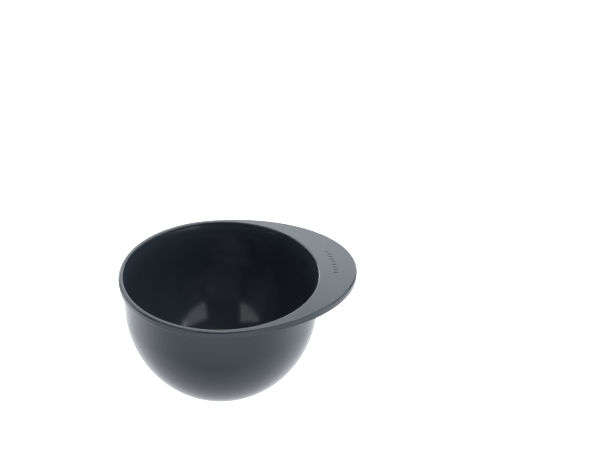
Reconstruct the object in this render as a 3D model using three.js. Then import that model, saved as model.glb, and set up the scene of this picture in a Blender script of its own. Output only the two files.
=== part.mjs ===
// Hair colour mixing bowl: a one-piece moulded bowl with a crescent grip lip, and a soft
// non-slip pad seated in its base.
//
// Millimetres, +Z up. The origin is the centre of the pad's underside, where the bowl
// stands. +X runs from the bowl's axis to the tip of the grip lip.

import * as THREE from 'three';
import { mergeVertices } from 'three/addons/utils/BufferGeometryUtils.js';

// ---------------------------------------------------------------- driving dimensions

const degree = Math.PI / 180;

const rimTop = 75; // height of the rim's flat top above the surface that the bowl stands on
const rimRadius = 59.6; // outer edge of the rim, away from the lip
const openingRadius = 57.7; // inner edge of the rim's flat top
const innerEdgeFillet = 0.9; // from the flat top down into the cavity
const mouthDepth = 10; // the cavity's wall flares out to the opening over this depth

// Seen from above, the edge of the rim and lip is two half ellipses centred on the axis: one
// as long as rimRadius, and one that reaches the lip's tip. They share one half width.
const outlineHalfWidth = 60.1;
const lipTip = 80.3; // the lip's tip, from the bowl's axis

const bandHeight = 4.6; // the turned-down edge of the rim and lip
const bandTopFillet = 1.2;
const bandBottomFillet = 1.0;

// The pocket under the lip, between the turned-down edge and the body.
const lipThickness = 2.3;
const skirtThickness = 1.9;
const skirtDraft = 0.1;
const pocketRoot = 0.8; // solid kept between the pocket and the body's outer wall
const pocketShut = 0.5; // the pocket has closed up where it is this wide
const pocketOpen = 4; // and has its full depth where it is this wide
const pocketLeast = 0.15; // its least width, where it has closed up

const bodyRadius = 57.5; // the body's outer wall, carried up to the rim's top
const wallDepth = 22.4; // depth of the nearly straight wall, below the rim's top
const wallDraft = 1.5 * degree;
const shoulderRadius = 62.3; // the arc that turns the wall in
const shoulderEnd = 39.8 * degree; // its slope where the bottom's arc takes over
const wallThickness = 2.2;

const padProud = 1; // the pad stands this far out of the base
const baseEdgeFillet = 2.5;
const floorThickness = 2.4;
const floorFillet = 15; // from the cavity's floor into its wall

const padRadius = 21.2;
const padThickness = 2.7;
const padGap = 0.3; // clearance round the pad and above it
const padChamfer = 0.5; // round the pad's lower edge
const grooveRadii = [9, 14.5]; // the middle of each grip groove in the pad's underside
const grooveWidth = 1.6;
const grooveDepth = 0.7;
const grooveSlope = 0.25; // how far each side of a groove leans in

const bowlSegments = 72;
const padSegments = 64;
const chordError = 0.06; // how far an arc's facets may stray from it
const weldDistance = 1e-4;

const slate = 0x343a42;
const slateRoughness = 0.3;
const darkRubber = 0x1f2226;
const rubberRoughness = 0.85;

// ---------------------------------------------------------------- profiles

// A profile is a list of [radius, height] points.

const recessRadius = padRadius + padGap;
const recessTop = padThickness + padGap;
const floorHeight = recessTop + floorThickness;
const bandBottom = rimTop - bandHeight;
const bodyAtBand = bodyRadius - bandHeight * Math.tan(wallDraft);

/** Points on an arc about (r, z); angles run from +r towards +z. */
function arc(r, z, radius, from, to) {
  const stepAngle = 2 * Math.acos(1 - chordError / radius);
  const steps = Math.ceil(Math.abs(to - from) / stepAngle);
  const points = [];
  for (let i = 0; i <= steps; i += 1) {
    const angle = from + ((to - from) * i) / steps;
    points.push([r + radius * Math.cos(angle), z + radius * Math.sin(angle)]);
  }
  return points;
}

/** The wall's shoulder arc and bottom arc, an inward offset from the outer surface. */
function wallArcs(offset) {
  const wallFoot = bodyRadius - wallDepth * Math.tan(wallDraft);
  const shoulder = {
    r: wallFoot - shoulderRadius * Math.cos(wallDraft),
    z: rimTop - wallDepth + shoulderRadius * Math.sin(wallDraft),
  };
  const shoulderEndRadius = shoulder.r + shoulderRadius * Math.cos(shoulderEnd);
  const bottomRadius = shoulderEndRadius / Math.cos(shoulderEnd);
  const bottomHeight = shoulder.z - (shoulderRadius - bottomRadius) * Math.sin(shoulderEnd);
  return {
    shoulder: { ...shoulder, radius: shoulderRadius - offset },
    bottom: { z: bottomHeight, radius: bottomRadius - offset },
  };
}

/** From the foot of the straight wall down and in to a flat at a given height. */
function wallProfile(offset, flatHeight, fillet) {
  const { shoulder, bottom } = wallArcs(offset);
  const filletHeight = flatHeight + fillet;
  const reach = bottom.radius - fillet;
  const filletCentre = Math.sqrt(reach ** 2 - (bottom.z - filletHeight) ** 2);
  const filletStart = -Math.acos(filletCentre / reach);
  return [
    ...arc(shoulder.r, shoulder.z, shoulder.radius, -wallDraft, -shoulderEnd),
    ...arc(0, bottom.z, bottom.radius, -shoulderEnd, filletStart).slice(1),
    ...arc(filletCentre, filletHeight, fillet, filletStart, -90 * degree).slice(1),
  ];
}

/** The rim's inner edge, then the mouth's flare down to the cavity's nearly straight wall. */
function mouthProfile() {
  const edgeRadius = openingRadius - innerEdgeFillet;
  const edgeHeight = rimTop - innerEdgeFillet;
  const footHeight = rimTop - mouthDepth;
  const offset = wallThickness / Math.cos(wallDraft);
  const footRadius = bodyRadius - offset - mouthDepth * Math.tan(wallDraft);
  const rise = edgeHeight - footHeight;
  const run = edgeRadius - footRadius;
  // The flare is an arc that leaves the wall at its foot along the wall's own slope.
  const along = rise * Math.cos(wallDraft) + run * Math.sin(wallDraft);
  const away = run * Math.cos(wallDraft) - rise * Math.sin(wallDraft);
  const flareRadius = (along ** 2 + away ** 2) / (2 * away);
  const centreRadius = footRadius + flareRadius * Math.cos(wallDraft);
  const centreHeight = footHeight - flareRadius * Math.sin(wallDraft);
  const flareStart = Math.atan2(edgeHeight - centreHeight, edgeRadius - centreRadius);
  const flareEnd = 180 * degree - wallDraft;
  return [
    ...arc(openingRadius, edgeHeight, innerEdgeFillet, 90 * degree, 180 * degree),
    ...arc(centreRadius, centreHeight, flareRadius, flareStart, flareEnd).slice(1),
  ];
}

/** The rim and lip's outer edge at an angle round the bowl, as a radius from its axis. */
function outlineRadius(angle) {
  const halfLength = Math.cos(angle) > 0 ? lipTip : rimRadius;
  return 1 / Math.hypot(Math.cos(angle) / halfLength, Math.sin(angle) / outlineHalfWidth);
}

// ---------------------------------------------------------------- the bowl

// A ring is a function of the angle round the bowl that gives one [radius, height].

const roundRings = (profile) => profile.map((point) => () => point);

/** The pocket under the lip, from the body out to the turned-down edge. */
function pocketRings() {
  const inner = bodyAtBand + pocketRoot;
  const outer = (angle) => Math.max(outlineRadius(angle) - skirtThickness, inner + pocketLeast);
  const top = (angle) => {
    const opened = THREE.MathUtils.smoothstep(outer(angle) - inner, pocketShut, pocketOpen);
    return bandBottom + (bandHeight - lipThickness) * opened;
  };
  return [
    () => [bodyAtBand, bandBottom],
    (angle) => [inner, top(angle)],
    (angle) => [outer(angle), top(angle)],
    (angle) => [outer(angle) + skirtDraft, bandBottom],
  ];
}

/** The turned-down edge itself, which follows the outline with a fillet above and below. */
function bandRings() {
  const edge = [
    ...arc(-bandBottomFillet, bandBottom + bandBottomFillet, bandBottomFillet, -90 * degree, 0),
    ...arc(-bandTopFillet, rimTop - bandTopFillet, bandTopFillet, 0, 90 * degree),
  ];
  return edge.map(([inset, z]) => (angle) => [outlineRadius(angle) + inset, z]);
}

/** A closed body through the rings, with a flat cap inside the first and the last. */
function ringBody(rings) {
  const positions = [];
  for (const ring of rings) {
    for (let i = 0; i < bowlSegments; i += 1) {
      const angle = (2 * Math.PI * i) / bowlSegments;
      const [r, z] = ring(angle);
      positions.push(r * Math.cos(angle), r * Math.sin(angle), z);
    }
  }
  const firstCap = rings.length * bowlSegments;
  const lastCap = firstCap + 1;
  const lastRing = firstCap - bowlSegments;
  positions.push(0, 0, rings[0](0)[1], 0, 0, rings[rings.length - 1](0)[1]);

  const indices = [];
  for (let i = 0; i < bowlSegments; i += 1) {
    const next = (i + 1) % bowlSegments;
    indices.push(firstCap, next, i);
    for (let start = 0; start < lastRing; start += bowlSegments) {
      const above = start + bowlSegments;
      indices.push(start + i, start + next, above + next);
      indices.push(start + i, above + next, above + i);
    }
    indices.push(lastCap, lastRing + i, lastRing + next);
  }
  const geometry = new THREE.BufferGeometry();
  geometry.setAttribute('position', new THREE.Float32BufferAttribute(positions, 3));
  geometry.setIndex(indices);
  geometry.computeVertexNormals();
  return geometry;
}

/** The moulded bowl, from the base recess up the outside, over the rim and down inside. */
function bowlGeometry() {
  return ringBody([
    ...roundRings([[recessRadius, recessTop], [recessRadius, padProud]]),
    ...roundRings(wallProfile(0, padProud, baseEdgeFillet).reverse()),
    ...pocketRings(),
    ...bandRings(),
    ...roundRings(mouthProfile()),
    ...roundRings(wallProfile(wallThickness, floorHeight, floorFillet)),
  ]);
}

// ---------------------------------------------------------------- the pad

/** The non-slip pad: a disc with concentric grip grooves in its underside. */
function padGeometry() {
  const half = grooveWidth / 2;
  const profile = [[0, 0]];
  for (const middle of grooveRadii) {
    profile.push([middle - half, 0]);
    profile.push([middle - half + grooveSlope, grooveDepth]);
    profile.push([middle + half - grooveSlope, grooveDepth]);
    profile.push([middle + half, 0]);
  }
  profile.push([padRadius - padChamfer, 0]);
  profile.push([padRadius, padChamfer]);
  profile.push([padRadius, padThickness]);
  profile.push([0, padThickness]);
  const points = profile.map(([r, z]) => new THREE.Vector2(r, z));
  const lathe = new THREE.LatheGeometry(points, padSegments);
  lathe.rotateX(90 * degree);
  lathe.deleteAttribute('uv');
  lathe.deleteAttribute('normal');
  const geometry = mergeVertices(lathe, weldDistance);
  geometry.computeVertexNormals();
  return geometry;
}

// ---------------------------------------------------------------- the object

function piece(name, geometry, color, roughness) {
  const material = new THREE.MeshStandardMaterial({ color, roughness, metalness: 0 });
  const mesh = new THREE.Mesh(geometry, material);
  mesh.name = name;
  return mesh;
}

const group = new THREE.Group();
group.add(piece('bowl', bowlGeometry(), slate, slateRoughness));
group.add(piece('base_pad', padGeometry(), darkRubber, rubberRoughness));

export default group;
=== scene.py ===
"""Looks for the hair colour bowl: fine meshes, procedural materials, and a high-key studio.

Lengths are in metres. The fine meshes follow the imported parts' own boxes and the same
section as the CAD, with the small radii and surface detail that the CAD leaves out.
"""

import math

import bmesh
import bpy
import numpy as np
from mathutils import Matrix, Quaternion, Vector


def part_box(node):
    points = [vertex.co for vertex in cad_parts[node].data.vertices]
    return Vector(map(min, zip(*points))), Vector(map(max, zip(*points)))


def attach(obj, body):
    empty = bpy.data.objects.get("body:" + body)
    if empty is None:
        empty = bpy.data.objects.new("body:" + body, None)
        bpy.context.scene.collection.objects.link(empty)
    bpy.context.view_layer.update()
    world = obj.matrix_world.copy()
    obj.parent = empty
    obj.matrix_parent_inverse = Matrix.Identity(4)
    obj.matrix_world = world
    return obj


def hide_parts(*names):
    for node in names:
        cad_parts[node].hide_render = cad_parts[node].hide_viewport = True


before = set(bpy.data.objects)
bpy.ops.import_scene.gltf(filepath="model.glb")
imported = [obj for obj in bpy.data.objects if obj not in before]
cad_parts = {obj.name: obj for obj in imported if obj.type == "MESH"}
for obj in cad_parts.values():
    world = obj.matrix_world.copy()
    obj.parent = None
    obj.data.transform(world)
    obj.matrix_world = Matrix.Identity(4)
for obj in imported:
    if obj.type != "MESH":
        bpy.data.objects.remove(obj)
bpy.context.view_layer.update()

MM = 0.001
QUARTER = math.pi / 2

# ------------------------------------------------------------------ sizes from the frame

bowl_low, bowl_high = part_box("bowl")
pad_low, pad_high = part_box("base_pad")

RIM_TOP = bowl_high.z
RIM_RADIUS = -bowl_low.x  # outer edge of the rim, away from the lip
LIP_TIP = bowl_high.x
OUTLINE_HALF_WIDTH = bowl_high.y
BASE_HEIGHT = bowl_low.z
PAD_RADIUS = pad_high.x
PAD_THICKNESS = pad_high.z

# ------------------------------------------------------------------ section of the moulding

OPENING_RADIUS = 57.7 * MM
INNER_EDGE_FILLET = 0.9 * MM
MOUTH_DEPTH = 10 * MM  # the cavity's wall flares out to the opening over this depth

BAND_HEIGHT = 4.6 * MM
BAND_TOP_FILLET = 1.2 * MM
BAND_BOTTOM_FILLET = 1.0 * MM
LIP_THICKNESS = 2.3 * MM
SKIRT_THICKNESS = 1.9 * MM
POCKET_SHUT = 0.5 * MM  # the pocket under the lip has closed up where it is this wide
POCKET_OPEN = 4 * MM  # and has its full depth where it is this wide
ROOT_FILLET = 0.5 * MM  # where the band meets the body
POCKET_ROOT_FILLET = 1.0 * MM  # the same corner where the pocket is open
POCKET_FILLET = 0.5 * MM
SKIRT_FOOT_FILLET = 0.4 * MM  # the turned-down edge's inner corner, at its foot

BODY_RADIUS = 57.5 * MM  # the body's outer wall, carried up to the rim's top
WALL_DEPTH = 22.4 * MM  # depth of the nearly straight wall, below the rim's top
WALL_DRAFT = math.radians(1.5)
SHOULDER_RADIUS = 62.3 * MM  # the arc that turns the wall in
SHOULDER_END = math.radians(39.8)  # its slope where the bottom's arc takes over
WALL_THICKNESS = 2.2 * MM

BASE_EDGE_FILLET = 2.5 * MM
FLOOR_THICKNESS = 2.4 * MM
FLOOR_FILLET = 15 * MM
PAD_GAP = 0.3 * MM
RECESS_FILLET = 0.25 * MM

MARK_RADIUS = 67 * MM  # a row of shallow slots round the lip, from the bowl's axis
MARK_SPREAD = math.radians(10)  # to each side of the lip's tip
MARK_COUNT = 9
MARK_LENGTH = 2.6 * MM
MARK_WIDTH = 0.75 * MM
MARK_DEPTH = 0.18 * MM
MARK_DRAFT = 0.1 * MM  # a slot is this much narrower at its floor than at the lip's surface

PAD_GROOVES = (9 * MM, 14.5 * MM)
GROOVE_WIDTH = 1.6 * MM
GROOVE_DEPTH = 0.7 * MM
GROOVE_FILLET = 0.2 * MM  # every corner of a groove, and the pad's upper edge
PAD_EDGE_FILLET = 0.5 * MM

# ------------------------------------------------------------------ mesh fineness

BOWL_SEGMENTS = 256
PAD_SEGMENTS = 160
CHORD_ERROR = 0.005 * MM  # how far an arc's facets may stray from it
SUPPORT = 0.12 * MM  # a flat keeps a ring this close to each end, so it shades flat
SUPPORT_SHARE = 0.3  # and on a narrow flat, no more than this share of its width
WELD = 0.004 * MM  # points closer than this become one
SHARP_ANGLE = math.radians(30)  # edges that turn more than this shade as edges
CAP_SHARES = (0.15, 0.5, 0.85)  # rings between the axis and a flat cap's edge
POCKET_ROOT_STEPS = 7
POCKET_CORNER_STEPS = 5


def arc(radius_at, height, radius, start, end):
    """Points on an arc about (radius_at, height); angles run from outwards to up."""
    step = 2 * math.acos(1 - CHORD_ERROR / radius)
    count = math.ceil(abs(end - start) / step)
    angles = np.linspace(start, end, count + 1)
    return [(radius_at + radius * math.cos(a), height + radius * math.sin(a)) for a in angles]


def wall_arcs(offset):
    """The wall's shoulder arc and bottom arc as (centre radius, centre height, radius)."""
    foot = BODY_RADIUS - WALL_DEPTH * math.tan(WALL_DRAFT)
    shoulder_r = foot - SHOULDER_RADIUS * math.cos(WALL_DRAFT)
    shoulder_z = RIM_TOP - WALL_DEPTH + SHOULDER_RADIUS * math.sin(WALL_DRAFT)
    end_radius = shoulder_r + SHOULDER_RADIUS * math.cos(SHOULDER_END)
    bottom_radius = end_radius / math.cos(SHOULDER_END)
    bottom_z = shoulder_z - (SHOULDER_RADIUS - bottom_radius) * math.sin(SHOULDER_END)
    shoulder = (shoulder_r, shoulder_z, SHOULDER_RADIUS - offset)
    bottom = (0.0, bottom_z, bottom_radius - offset)
    return shoulder, bottom


def wall_profile(offset, flat_height, fillet):
    """From the foot of the straight wall down and in to a flat at a given height."""
    shoulder, bottom = wall_arcs(offset)
    _, bottom_z, bottom_radius = bottom
    fillet_z = flat_height + fillet
    reach = bottom_radius - fillet
    fillet_r = math.sqrt(reach**2 - (bottom_z - fillet_z) ** 2)
    fillet_start = -math.acos(fillet_r / reach)
    return (
        arc(*shoulder, -WALL_DRAFT, -SHOULDER_END)
        + arc(*bottom, -SHOULDER_END, fillet_start)[1:]
        + arc(fillet_r, fillet_z, fillet, fillet_start, -QUARTER)[1:]
    )


def wall_radius(height, offset=0.0):
    """The nearly straight wall's radius at a height, or that of an inward offset from it."""
    return BODY_RADIUS - offset / math.cos(WALL_DRAFT) - (RIM_TOP - height) * math.tan(WALL_DRAFT)


def mouth_profile():
    """From the rim's flat top over the inner edge and down the flared mouth to the wall."""
    top = RIM_TOP - INNER_EDGE_FILLET
    low = RIM_TOP - MOUTH_DEPTH
    edge_end = OPENING_RADIUS - INNER_EDGE_FILLET
    foot = wall_radius(low, WALL_THICKNESS)
    # The flare is an arc tangent to the wall at its foot that reaches the fillet's end.
    rise = top - low
    run = edge_end - foot
    along = rise * math.cos(WALL_DRAFT) + run * math.sin(WALL_DRAFT)
    away = run * math.cos(WALL_DRAFT) - rise * math.sin(WALL_DRAFT)
    radius = (along**2 + away**2) / (2 * away)
    centre_r = foot + radius * math.cos(WALL_DRAFT)
    centre_z = low - radius * math.sin(WALL_DRAFT)
    end = math.atan2(top - centre_z, edge_end - centre_r)
    edge = arc(OPENING_RADIUS, top, INNER_EDGE_FILLET, QUARTER, 2 * QUARTER)
    flare = arc(centre_r, centre_z, radius, end, 2 * QUARTER - WALL_DRAFT)
    return edge + flare[1:]


def outline(angles):
    """The rim and lip's outer edge, as a radius from the axis at each angle."""
    cos, sin = np.cos(angles), np.sin(angles)
    half_length = np.where(cos > 0, LIP_TIP, RIM_RADIUS)
    return 1 / np.sqrt((cos / half_length) ** 2 + (sin / OUTLINE_HALF_WIDTH) ** 2)


# ------------------------------------------------------------------ rings to meshes
# A ring is an array of (radius, height), one row for each angle round the bowl.


def round_rings(profile, segments=BOWL_SEGMENTS):
    """One circular ring for each point of a profile."""
    return [np.tile([float(r), float(z)], (segments, 1)) for r, z in profile]


def across(start, end, middles=3):
    """Rings between two rings: one close to each end, and a few evenly between."""
    gap = np.linalg.norm(end - start, axis=1, keepdims=True)
    near = np.minimum(SUPPORT / np.maximum(gap, WELD), SUPPORT_SHARE)
    evenly = [k / (middles + 1) for k in range(1, middles + 1)]
    shares = [near] + [near + (1 - 2 * near) * share for share in evenly] + [1 - near]
    return [start + (end - start) * share for share in shares]


def swept_mesh(name, rings, inside_from=None):
    """A closed mesh through the rings, capped on the axis inside the first and the last.

    Faces past the ring inside_from take the second material.
    """
    segments = len(rings[0])
    angles = np.linspace(0, 2 * math.pi, segments, endpoint=False)
    stacked = np.stack(rings)
    points = np.empty((len(rings), segments, 3))
    points[:, :, 0] = stacked[:, :, 0] * np.cos(angles)
    points[:, :, 1] = stacked[:, :, 0] * np.sin(angles)
    points[:, :, 2] = stacked[:, :, 1]
    vertices = points.reshape(-1, 3).tolist()
    first_cap = len(vertices)
    vertices.append((0.0, 0.0, float(rings[0][0, 1])))
    vertices.append((0.0, 0.0, float(rings[-1][0, 1])))
    last_ring = first_cap - segments
    inside = first_cap if inside_from is None else inside_from * segments
    faces = []
    for i in range(segments):
        j = (i + 1) % segments
        faces.append((first_cap, j, i))
        for start in range(0, last_ring, segments):
            faces.append((start + i, start + j, start + segments + j, start + segments + i))
        faces.append((first_cap + 1, last_ring + i, last_ring + j))
    mesh = bpy.data.meshes.new(name)
    mesh.from_pydata(vertices, [], faces)
    for face in mesh.polygons:
        start = sorted(face.vertices)[0]
        face.material_index = int(inside <= start < first_cap)
    obj = bpy.data.objects.new(name, mesh)
    bpy.context.scene.collection.objects.link(obj)
    return obj


def weld(obj):
    """Makes coinciding points one, and removes the faces that this leaves with no area."""
    bm = bmesh.new()
    bm.from_mesh(obj.data)
    bmesh.ops.remove_doubles(bm, verts=bm.verts, dist=WELD)
    bmesh.ops.dissolve_degenerate(bm, edges=bm.edges, dist=WELD)
    bm.to_mesh(obj.data)
    bm.free()


def smooth(obj):
    """Shades an object smooth, apart from its sharp edges."""
    obj.data.shade_smooth()
    obj.data.set_sharp_from_angle(angle=SHARP_ANGLE)


# ------------------------------------------------------------------ the bowl


def base_rings():
    """The pad's recess and the flat ring of the base round it."""
    recess_radius = PAD_RADIUS + PAD_GAP
    recess_top = PAD_THICKNESS + PAD_GAP
    fillet = RECESS_FILLET
    inner = arc(recess_radius - fillet, recess_top - fillet, fillet, QUARTER, 0)
    outer = arc(recess_radius + fillet, BASE_HEIGHT + fillet, fillet, 2 * QUARTER, 3 * QUARTER)
    centre = [(inner[0][0] * share, recess_top) for share in CAP_SHARES]
    return round_rings(centre + inner + outer)


def turned_rings(radius_at, height_at, radius, start, end, steps):
    """Rings round a fillet whose place and radius may differ at each angle round the bowl."""
    rings = []
    for angle in np.linspace(start, end, steps):
        r = radius_at + radius * math.cos(angle)
        z = height_at + radius * math.sin(angle)
        rings.append(np.stack([r, z], axis=1))
    return rings


def pocket_rings(edge):
    """From the body's wall out under the lip to the foot of the turned-down edge."""
    band_bottom = RIM_TOP - BAND_HEIGHT
    body = wall_radius(band_bottom)
    skirt = edge - SKIRT_THICKNESS
    root_start = body + POCKET_ROOT_FILLET
    width = skirt - root_start
    share = np.clip((width - POCKET_SHUT) / (POCKET_OPEN - POCKET_SHUT), 0, 1)
    opened = share * share * (3 - 2 * share)  # a smooth step from shut, 0, to open, 1
    top = band_bottom + (BAND_HEIGHT - LIP_THICKNESS) * opened
    root = ROOT_FILLET + (POCKET_ROOT_FILLET - ROOT_FILLET) * opened
    corner = POCKET_FILLET * opened
    skirt = np.maximum(skirt, body + POCKET_ROOT_FILLET + corner)
    foot = SKIRT_FOOT_FILLET * opened
    steps = POCKET_CORNER_STEPS
    at_body = turned_rings(body + root, top - root, root, 2 * QUARTER, QUARTER, POCKET_ROOT_STEPS)
    ceiling_end = np.stack([skirt - corner, top], axis=1)
    at_skirt = turned_rings(skirt - corner, top - corner, corner, QUARTER, 0, steps)[1:]
    at_foot = turned_rings(skirt + foot, band_bottom + foot, foot, 2 * QUARTER, 3 * QUARTER, steps)
    return at_body + across(at_body[-1], ceiling_end) + [ceiling_end] + at_skirt + at_foot


def band_rings(edge):
    """The turned-down edge's outer face, with a fillet below and above."""

    def follow_edge(profile):
        return [np.stack([edge + r, np.full_like(edge, z)], axis=1) for r, z in profile]

    foot, top = BAND_BOTTOM_FILLET, BAND_TOP_FILLET
    lower = follow_edge(arc(-foot, RIM_TOP - BAND_HEIGHT + foot, foot, -QUARTER, 0))
    upper = follow_edge(arc(-top, RIM_TOP - top, top, 0, QUARTER))
    return lower + across(lower[-1], upper[0]) + upper


def bowl_rings():
    """The rings outside, from the base up to the rim's flat top, and those of the cavity."""
    angles = np.linspace(0, 2 * math.pi, BOWL_SEGMENTS, endpoint=False)
    edge = outline(angles)
    body = round_rings(wall_profile(0, BASE_HEIGHT, BASE_EDGE_FILLET)[::-1])
    floor_height = PAD_THICKNESS + PAD_GAP + FLOOR_THICKNESS
    cavity = round_rings(wall_profile(WALL_THICKNESS, floor_height, FLOOR_FILLET))
    mouth = round_rings(mouth_profile())
    base = base_rings()
    pocket = pocket_rings(edge)
    band = band_rings(edge)
    floor_flat = [cavity[-1] * [share, 1] for share in CAP_SHARES[::-1]]
    outside = (
        base
        + across(base[-1], body[0], middles=2)
        + body
        + across(body[-1], pocket[0], middles=4)
        + pocket
        + across(pocket[-1], band[0], middles=1)
        + band
        + across(band[-1], mouth[0], middles=8)
    )
    inside = mouth + across(mouth[-1], cavity[0], middles=4) + cavity + floor_flat
    return outside, inside


outside_rings, inside_rings = bowl_rings()
all_rings = outside_rings + inside_rings
bowl = swept_mesh("bowl_moulding", all_rings, inside_from=len(outside_rings))
weld(bowl)
smooth(bowl)

# ------------------------------------------------------------------ the pad

PAD_UNDER_RINGS = (1 * MM, 4 * MM)  # on the flat inside the first groove
PAD_TOP_RINGS = (12 * MM, 4 * MM)


def pad_profile():
    """From near the axis out along the grooved underside, and back over the top."""
    half, fillet = GROOVE_WIDTH / 2, GROOVE_FILLET
    points = [(r, 0.0) for r in PAD_UNDER_RINGS]
    for middle in PAD_GROOVES:
        inner, outer = middle - half, middle + half
        points += arc(inner - fillet, fillet, fillet, -QUARTER, 0)
        points += arc(inner + fillet, GROOVE_DEPTH - fillet, fillet, 2 * QUARTER, QUARTER)
        points += arc(outer - fillet, GROOVE_DEPTH - fillet, fillet, QUARTER, 0)
        points += arc(outer + fillet, fillet, fillet, 2 * QUARTER, 3 * QUARTER)
    edge = PAD_EDGE_FILLET
    points += arc(PAD_RADIUS - edge, edge, edge, -QUARTER, 0)
    points += arc(PAD_RADIUS - fillet, PAD_THICKNESS - fillet, fillet, 0, QUARTER)
    points += [(r, PAD_THICKNESS) for r in PAD_TOP_RINGS]
    return points


pad = swept_mesh("non_slip_pad", round_rings(pad_profile(), PAD_SEGMENTS))
smooth(pad)

# ------------------------------------------------------------------ materials

DEEP_SLATE = (0.024, 0.030, 0.040, 1)  # the plastic's colour drifts a little between these
PALE_SLATE = (0.029, 0.036, 0.047, 1)
CLOUD_SCALE = 35.0
GRAIN_SCALE = 420.0
GRAIN_DEPTH = 0.1 * MM
NOISE_LOW = 0.3  # a noise texture's values lie mostly between these
NOISE_HIGH = 0.7
PLASTIC_IOR = 1.5

RUBBER_BLACK = (0.016, 0.018, 0.02, 1)
RUBBER_ROUGHNESS = 0.75
PEBBLE_SCALE = 900.0
PEBBLE_DEPTH = 0.2 * MM

MIX_FIRST = 6  # a Mix node's colour sockets, whose names its other data types share
MIX_SECOND = 7
MIX_RESULT = 2


class Shader:
    """A short way to build a node material."""

    def __init__(self, name):
        self.material = bpy.data.materials.new(name)
        self.material.use_nodes = True
        self.tree = self.material.node_tree
        self.surface = self.tree.nodes["Principled BSDF"]

    def feed(self, target, value):
        """Links a socket to an input, or stores a plain value in it."""
        if isinstance(value, bpy.types.NodeSocket):
            self.tree.links.new(value, target)
        else:
            target.default_value = value

    def node(self, kind, settings=(), **inputs):
        """A node with its settings, and its inputs by name, with _ for a space."""
        made = self.tree.nodes.new(kind)
        for key, value in dict(settings).items():
            setattr(made, key, value)
        for key, value in inputs.items():
            self.feed(made.inputs[key.replace("_", " ")], value)
        return made

    def set(self, name, value):
        """Feeds one of the surface shader's own inputs."""
        self.feed(self.surface.inputs[name], value)


def moulded_plastic(name, least_rough, most_rough, grain_strength):
    """Dark slate plastic: a roughness range, and how strong its faint moulded texture is."""
    s = Shader(name)
    place = s.node("ShaderNodeTexCoord").outputs["Object"]
    cloud = s.node("ShaderNodeTexNoise", Vector=place, Scale=CLOUD_SCALE, Detail=3.0)
    tint = s.node("ShaderNodeMix", {"data_type": "RGBA"})
    s.feed(tint.inputs[MIX_FIRST], DEEP_SLATE)
    s.feed(tint.inputs[MIX_SECOND], PALE_SLATE)
    s.feed(tint.inputs["Factor"], cloud.outputs["Fac"])
    s.set("Base Color", tint.outputs[MIX_RESULT])
    grain = s.node("ShaderNodeTexNoise", Vector=place, Scale=GRAIN_SCALE, Detail=4.0)
    height = grain.outputs["Fac"]
    gloss = s.node(
        "ShaderNodeMapRange",
        Value=height,
        From_Min=NOISE_LOW,
        From_Max=NOISE_HIGH,
        To_Min=least_rough,
        To_Max=most_rough,
    )
    s.set("Roughness", gloss.outputs["Result"])
    bump = s.node("ShaderNodeBump", Strength=grain_strength, Distance=GRAIN_DEPTH, Height=height)
    s.set("Normal", bump.outputs["Normal"])
    s.set("IOR", PLASTIC_IOR)
    return s.material


def soft_rubber():
    """Nearly black matte rubber with a fine pebbled grain."""
    s = Shader("pad_rubber")
    place = s.node("ShaderNodeTexCoord").outputs["Object"]
    pebble = s.node("ShaderNodeTexNoise", Vector=place, Scale=PEBBLE_SCALE, Detail=3.0)
    height = pebble.outputs["Fac"]
    s.set("Base Color", RUBBER_BLACK)
    s.set("Roughness", RUBBER_ROUGHNESS)
    bump = s.node("ShaderNodeBump", Strength=0.25, Distance=PEBBLE_DEPTH, Height=height)
    s.set("Normal", bump.outputs["Normal"])
    return s.material


satin_slate = moulded_plastic("satin_slate", least_rough=0.16, most_rough=0.22, grain_strength=0.04)
polished_slate = moulded_plastic(
    "polished_slate", least_rough=0.12, most_rough=0.17, grain_strength=0.02
)
bowl.data.materials.append(satin_slate)
bowl.data.materials.append(polished_slate)  # the cavity's, as swept_mesh numbered its faces
pad.data.materials.append(soft_rubber())

# ------------------------------------------------------------------ the lip's mark


def capsule_outline(length, width):
    """A round-ended slot's outline, its length along x."""
    straight, radius = (length - width) / 2, width / 2
    right = arc(straight, 0, radius, -QUARTER, QUARTER)
    left = arc(-straight, 0, radius, QUARTER, 3 * QUARTER)
    return right + left


def slot_cutter(angle):
    """Vertices and faces of one slot's cutter, which narrows a little towards its floor."""
    low = capsule_outline(MARK_LENGTH - MARK_DRAFT, MARK_WIDTH - MARK_DRAFT)
    high = capsule_outline(MARK_LENGTH + MARK_DRAFT, MARK_WIDTH + MARK_DRAFT)
    turn = Matrix.Rotation(angle, 3, "Z")
    levels = ((low, RIM_TOP - MARK_DEPTH), (high, RIM_TOP + MARK_DEPTH))
    vertices = [turn @ Vector((MARK_RADIUS + x, y, z)) for shape, z in levels for x, y in shape]
    count = len(low)
    pairs = [(i, (i + 1) % count) for i in range(count)]
    sides = [(this, following, count + following, count + this) for this, following in pairs]
    return vertices, [tuple(range(count))[::-1], tuple(range(count, 2 * count))] + sides


def mark_cutter():
    """One object that holds the cutters of all the slots."""
    vertices, faces = [], []
    for angle in np.linspace(-MARK_SPREAD, MARK_SPREAD, MARK_COUNT):
        slot_vertices, slot_faces = slot_cutter(float(angle))
        start = len(vertices)
        vertices += slot_vertices
        faces += [tuple(start + v for v in face) for face in slot_faces]
    mesh = bpy.data.meshes.new("mark_cutter")
    mesh.from_pydata(vertices, [], faces)
    cutter = bpy.data.objects.new("mark_cutter", mesh)
    bpy.context.scene.collection.objects.link(cutter)
    return cutter


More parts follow.
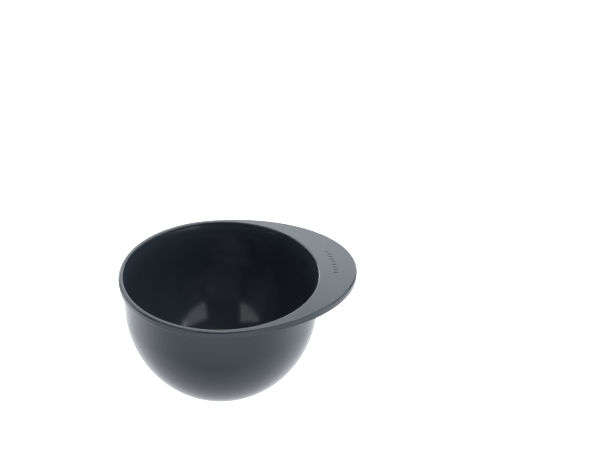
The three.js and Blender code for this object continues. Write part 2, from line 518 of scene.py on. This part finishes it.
def cut(obj, cutter):
    """Cuts one closed mesh out of another, and deletes the cutter."""
    modifier = obj.modifiers.new("cut", "BOOLEAN")
    modifier.object = cutter
    modifier.operation = "DIFFERENCE"
    modifier.solver = "EXACT"
    result = obj.evaluated_get(bpy.context.evaluated_depsgraph_get())
    mesh = bpy.data.meshes.new_from_object(result)
    obj.modifiers.clear()
    obj.data = mesh
    bpy.data.objects.remove(cutter)


cut(bowl, mark_cutter())
smooth(bowl)

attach(bowl, "root")
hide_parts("bowl")
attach(pad, "root")
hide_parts("base_pad")

# ------------------------------------------------------------------ camera

LIP_BEARING = math.radians(12.5)  # the lip points this far round from the camera's right
VIEW_PITCH = math.radians(30.93)  # the camera looks down this far
VIEW_ROLL = math.radians(1.66)
CAMERA_RIGHT = 45.4 * MM  # from the base's centre, along the camera's own bearings
CAMERA_BACK = 582.3 * MM
CAMERA_UP = 457.0 * MM
LENS = 71.46  # focal length in millimetres, as is the sensor's width
SENSOR = 36.0
NEAREST_SEEN = 10 * MM


def from_camera_bearing(right, away, up):
    """A point given along the camera's right and away directions, in the part's frame."""
    return Matrix.Rotation(-LIP_BEARING, 3, "Z") @ Vector((right, away, up))


def make_camera():
    """The scene's camera, placed and turned by the values above."""
    data = bpy.data.cameras.new("camera")
    data.lens = LENS
    data.sensor_width = SENSOR
    data.clip_start = NEAREST_SEEN
    camera = bpy.data.objects.new("camera", data)
    turn = Matrix.Rotation(-LIP_BEARING, 4, "Z")
    turn @= Matrix.Rotation(QUARTER - VIEW_PITCH, 4, "X")
    turn @= Matrix.Rotation(VIEW_ROLL, 4, "Z")
    place = from_camera_bearing(CAMERA_RIGHT, -CAMERA_BACK, CAMERA_UP)
    camera.matrix_world = Matrix.Translation(place) @ turn
    bpy.context.scene.collection.objects.link(camera)
    bpy.context.scene.camera = camera


make_camera()

# ------------------------------------------------------------------ studio

FLOOR_HALF = 4.0  # half of its side
FLOOR_COLOUR = (0.35, 0.365, 0.38, 1)
FLOOR_GLOW = (0.95, 0.975, 1, 1)
GLOW_SEEN = 1.2  # the least glow that the camera sees, which makes the floor white
PAINTED_SHADOW_GLOW = 0.3  # in the middle of a dim oval patch in front of the bowl: a painted shadow of the bowl, which the camera sees as white
GLOW_MOST = 1.22  # beyond the painted shadow
SHADOW_PATCH_FORWARD = 100 * MM  # the painted shadow's middle, from the bowl's axis
SHADOW_PATCH_SQUEEZE = 0.3  # its depth for a width of 1
SHADOW_PATCH_START = 5 * MM  # the glow rises out of the painted shadow between these distances from its middle
SHADOW_PATCH_END = 80 * MM
WORLD_SEEN = 1.0  # the world is white to the camera, and nearly black to all else
WORLD_LIGHT = 0.05
PANEL_TINT = (0.96, 1.0, 1.03)  # a little cooler than white


def make_floor():
    """A floor that is white to the camera, and glows on the bowl, dimmed in a painted shadow in
    front of it.
    """
    mesh = bpy.data.meshes.new("floor")
    half = FLOOR_HALF
    corners = [(-half, -half, 0), (half, -half, 0), (half, half, 0), (-half, half, 0)]
    mesh.from_pydata(corners, [], [(0, 1, 2, 3)])
    floor = bpy.data.objects.new("floor", mesh)
    floor.rotation_euler.z = -LIP_BEARING  # its Y runs straight away from the camera
    bpy.context.scene.collection.objects.link(floor)
    s = Shader("floor_white")
    s.set("Base Color", FLOOR_COLOUR)
    s.set("Roughness", 1.0)
    s.set("Specular IOR Level", 0.0)
    s.set("Emission Color", FLOOR_GLOW)
    place = s.node("ShaderNodeTexCoord").outputs["Object"]
    # The dim oval patch is a painted shadow of the bowl on the floor in front of it, seen only in
    # the bowl's reflections and light.
    shift, squeeze = (0, SHADOW_PATCH_FORWARD, 0), (SHADOW_PATCH_SQUEEZE, 1, 0)
    shadow_patch = s.node("ShaderNodeMapping", Vector=place, Location=shift, Scale=squeeze)
    offset = shadow_patch.outputs["Vector"]
    distance = s.node("ShaderNodeVectorMath", {"operation": "LENGTH"}, Vector=offset)
    glow_with_painted_shadow = s.node(
        "ShaderNodeMapRange",
        Value=distance.outputs["Value"],
        From_Min=SHADOW_PATCH_START,
        From_Max=SHADOW_PATCH_END,
        To_Min=PAINTED_SHADOW_GLOW,
        To_Max=GLOW_MOST,
    )
    seen = s.node("ShaderNodeLightPath").outputs["Is Camera Ray"]
    white = s.node("ShaderNodeMapRange", Value=seen, To_Max=GLOW_SEEN)
    brighter = s.node("ShaderNodeMath", {"operation": "MAXIMUM"})
    s.feed(brighter.inputs[0], glow_with_painted_shadow.outputs["Result"])
    s.feed(brighter.inputs[1], white.outputs["Result"])
    s.set("Emission Strength", brighter.outputs["Value"])
    # From below the floor is clear, so the base can be looked at.
    below = s.node("ShaderNodeNewGeometry").outputs["Backfacing"]
    clear = s.node("ShaderNodeBsdfTransparent").outputs["BSDF"]
    either = s.node("ShaderNodeMixShader", Fac=below)
    s.feed(either.inputs[1], s.surface.outputs["BSDF"])
    s.feed(either.inputs[2], clear)
    s.feed(s.tree.nodes["Material Output"].inputs["Surface"], either.outputs["Shader"])
    mesh.materials.append(s.material)


def softbox(name, bearing, elevation, distance, size, radiance, lean=0):
    """A rectangular panel that faces the middle of the rim.

    Its angles are in degrees. The bearing starts straight away from the camera and turns
    rightwards, and lean turns the panel in its own plane. Its size is (width, height).
    """
    width, height = size
    data = bpy.data.lights.new(name, "AREA")
    data.shape = "RECTANGLE"
    data.size = width
    data.size_y = height
    data.energy = radiance * math.pi * width * height
    data.color = PANEL_TINT
    light = bpy.data.objects.new(name, data)
    around, above = math.radians(bearing), math.radians(elevation)
    aim = Vector((0, 0, RIM_TOP))
    direction = from_camera_bearing(
        math.sin(around) * math.cos(above), math.cos(around) * math.cos(above), math.sin(above)
    )
    light.location = aim + direction * distance
    light.rotation_mode = "QUATERNION"
    turn = Quaternion((0, 0, 1), math.radians(lean))
    light.rotation_quaternion = direction.to_track_quat("Z", "Y") @ turn
    light.visible_camera = False
    bpy.context.scene.collection.objects.link(light)


def make_world():
    """A world that is white behind everything, and gives the bowl almost no light."""
    world = bpy.data.worlds.new("studio")
    world.use_nodes = True
    nodes, links = world.node_tree.nodes, world.node_tree.links
    background = nodes["Background"]
    background.inputs["Color"].default_value = (1, 1, 1, 1)
    path = nodes.new("ShaderNodeLightPath")
    mix = nodes.new("ShaderNodeMapRange")
    mix.inputs["To Min"].default_value = WORLD_LIGHT
    mix.inputs["To Max"].default_value = WORLD_SEEN
    links.new(path.outputs["Is Camera Ray"], mix.inputs["Value"])
    links.new(mix.outputs["Result"], background.inputs["Strength"])
    bpy.context.scene.world = world


make_floor()
make_world()
softbox("front_left", -130.5, 24, distance=1.6, size=(1.31, 0.93), radiance=1.2, lean=33)
softbox("front_right", 120.5, 19, distance=1.6, size=(1.7, 1.43), radiance=1.25, lean=-15)
softbox("back", 0, 26, distance=1.4, size=(2.0, 0.45), radiance=3.0)
softbox("back_upper", 0, 48.5, distance=1.4, size=(2.0, 0.55), radiance=2.4)
softbox("back_low", 0, 8, distance=1.4, size=(2.0, 0.42), radiance=1.8)
softbox("back_left", -33, 11, distance=1.3, size=(0.45, 0.5), radiance=4.0)
softbox("right", 85, 24, distance=1.3, size=(1.0, 0.7), radiance=2.2)
softbox("left", -69, 24, distance=1.3, size=(0.85, 0.7), radiance=1.9)
softbox("top", 60, 78, distance=1.2, size=(0.9, 0.9), radiance=3.8)
bpy.context.scene.view_settings.view_transform = "Standard"
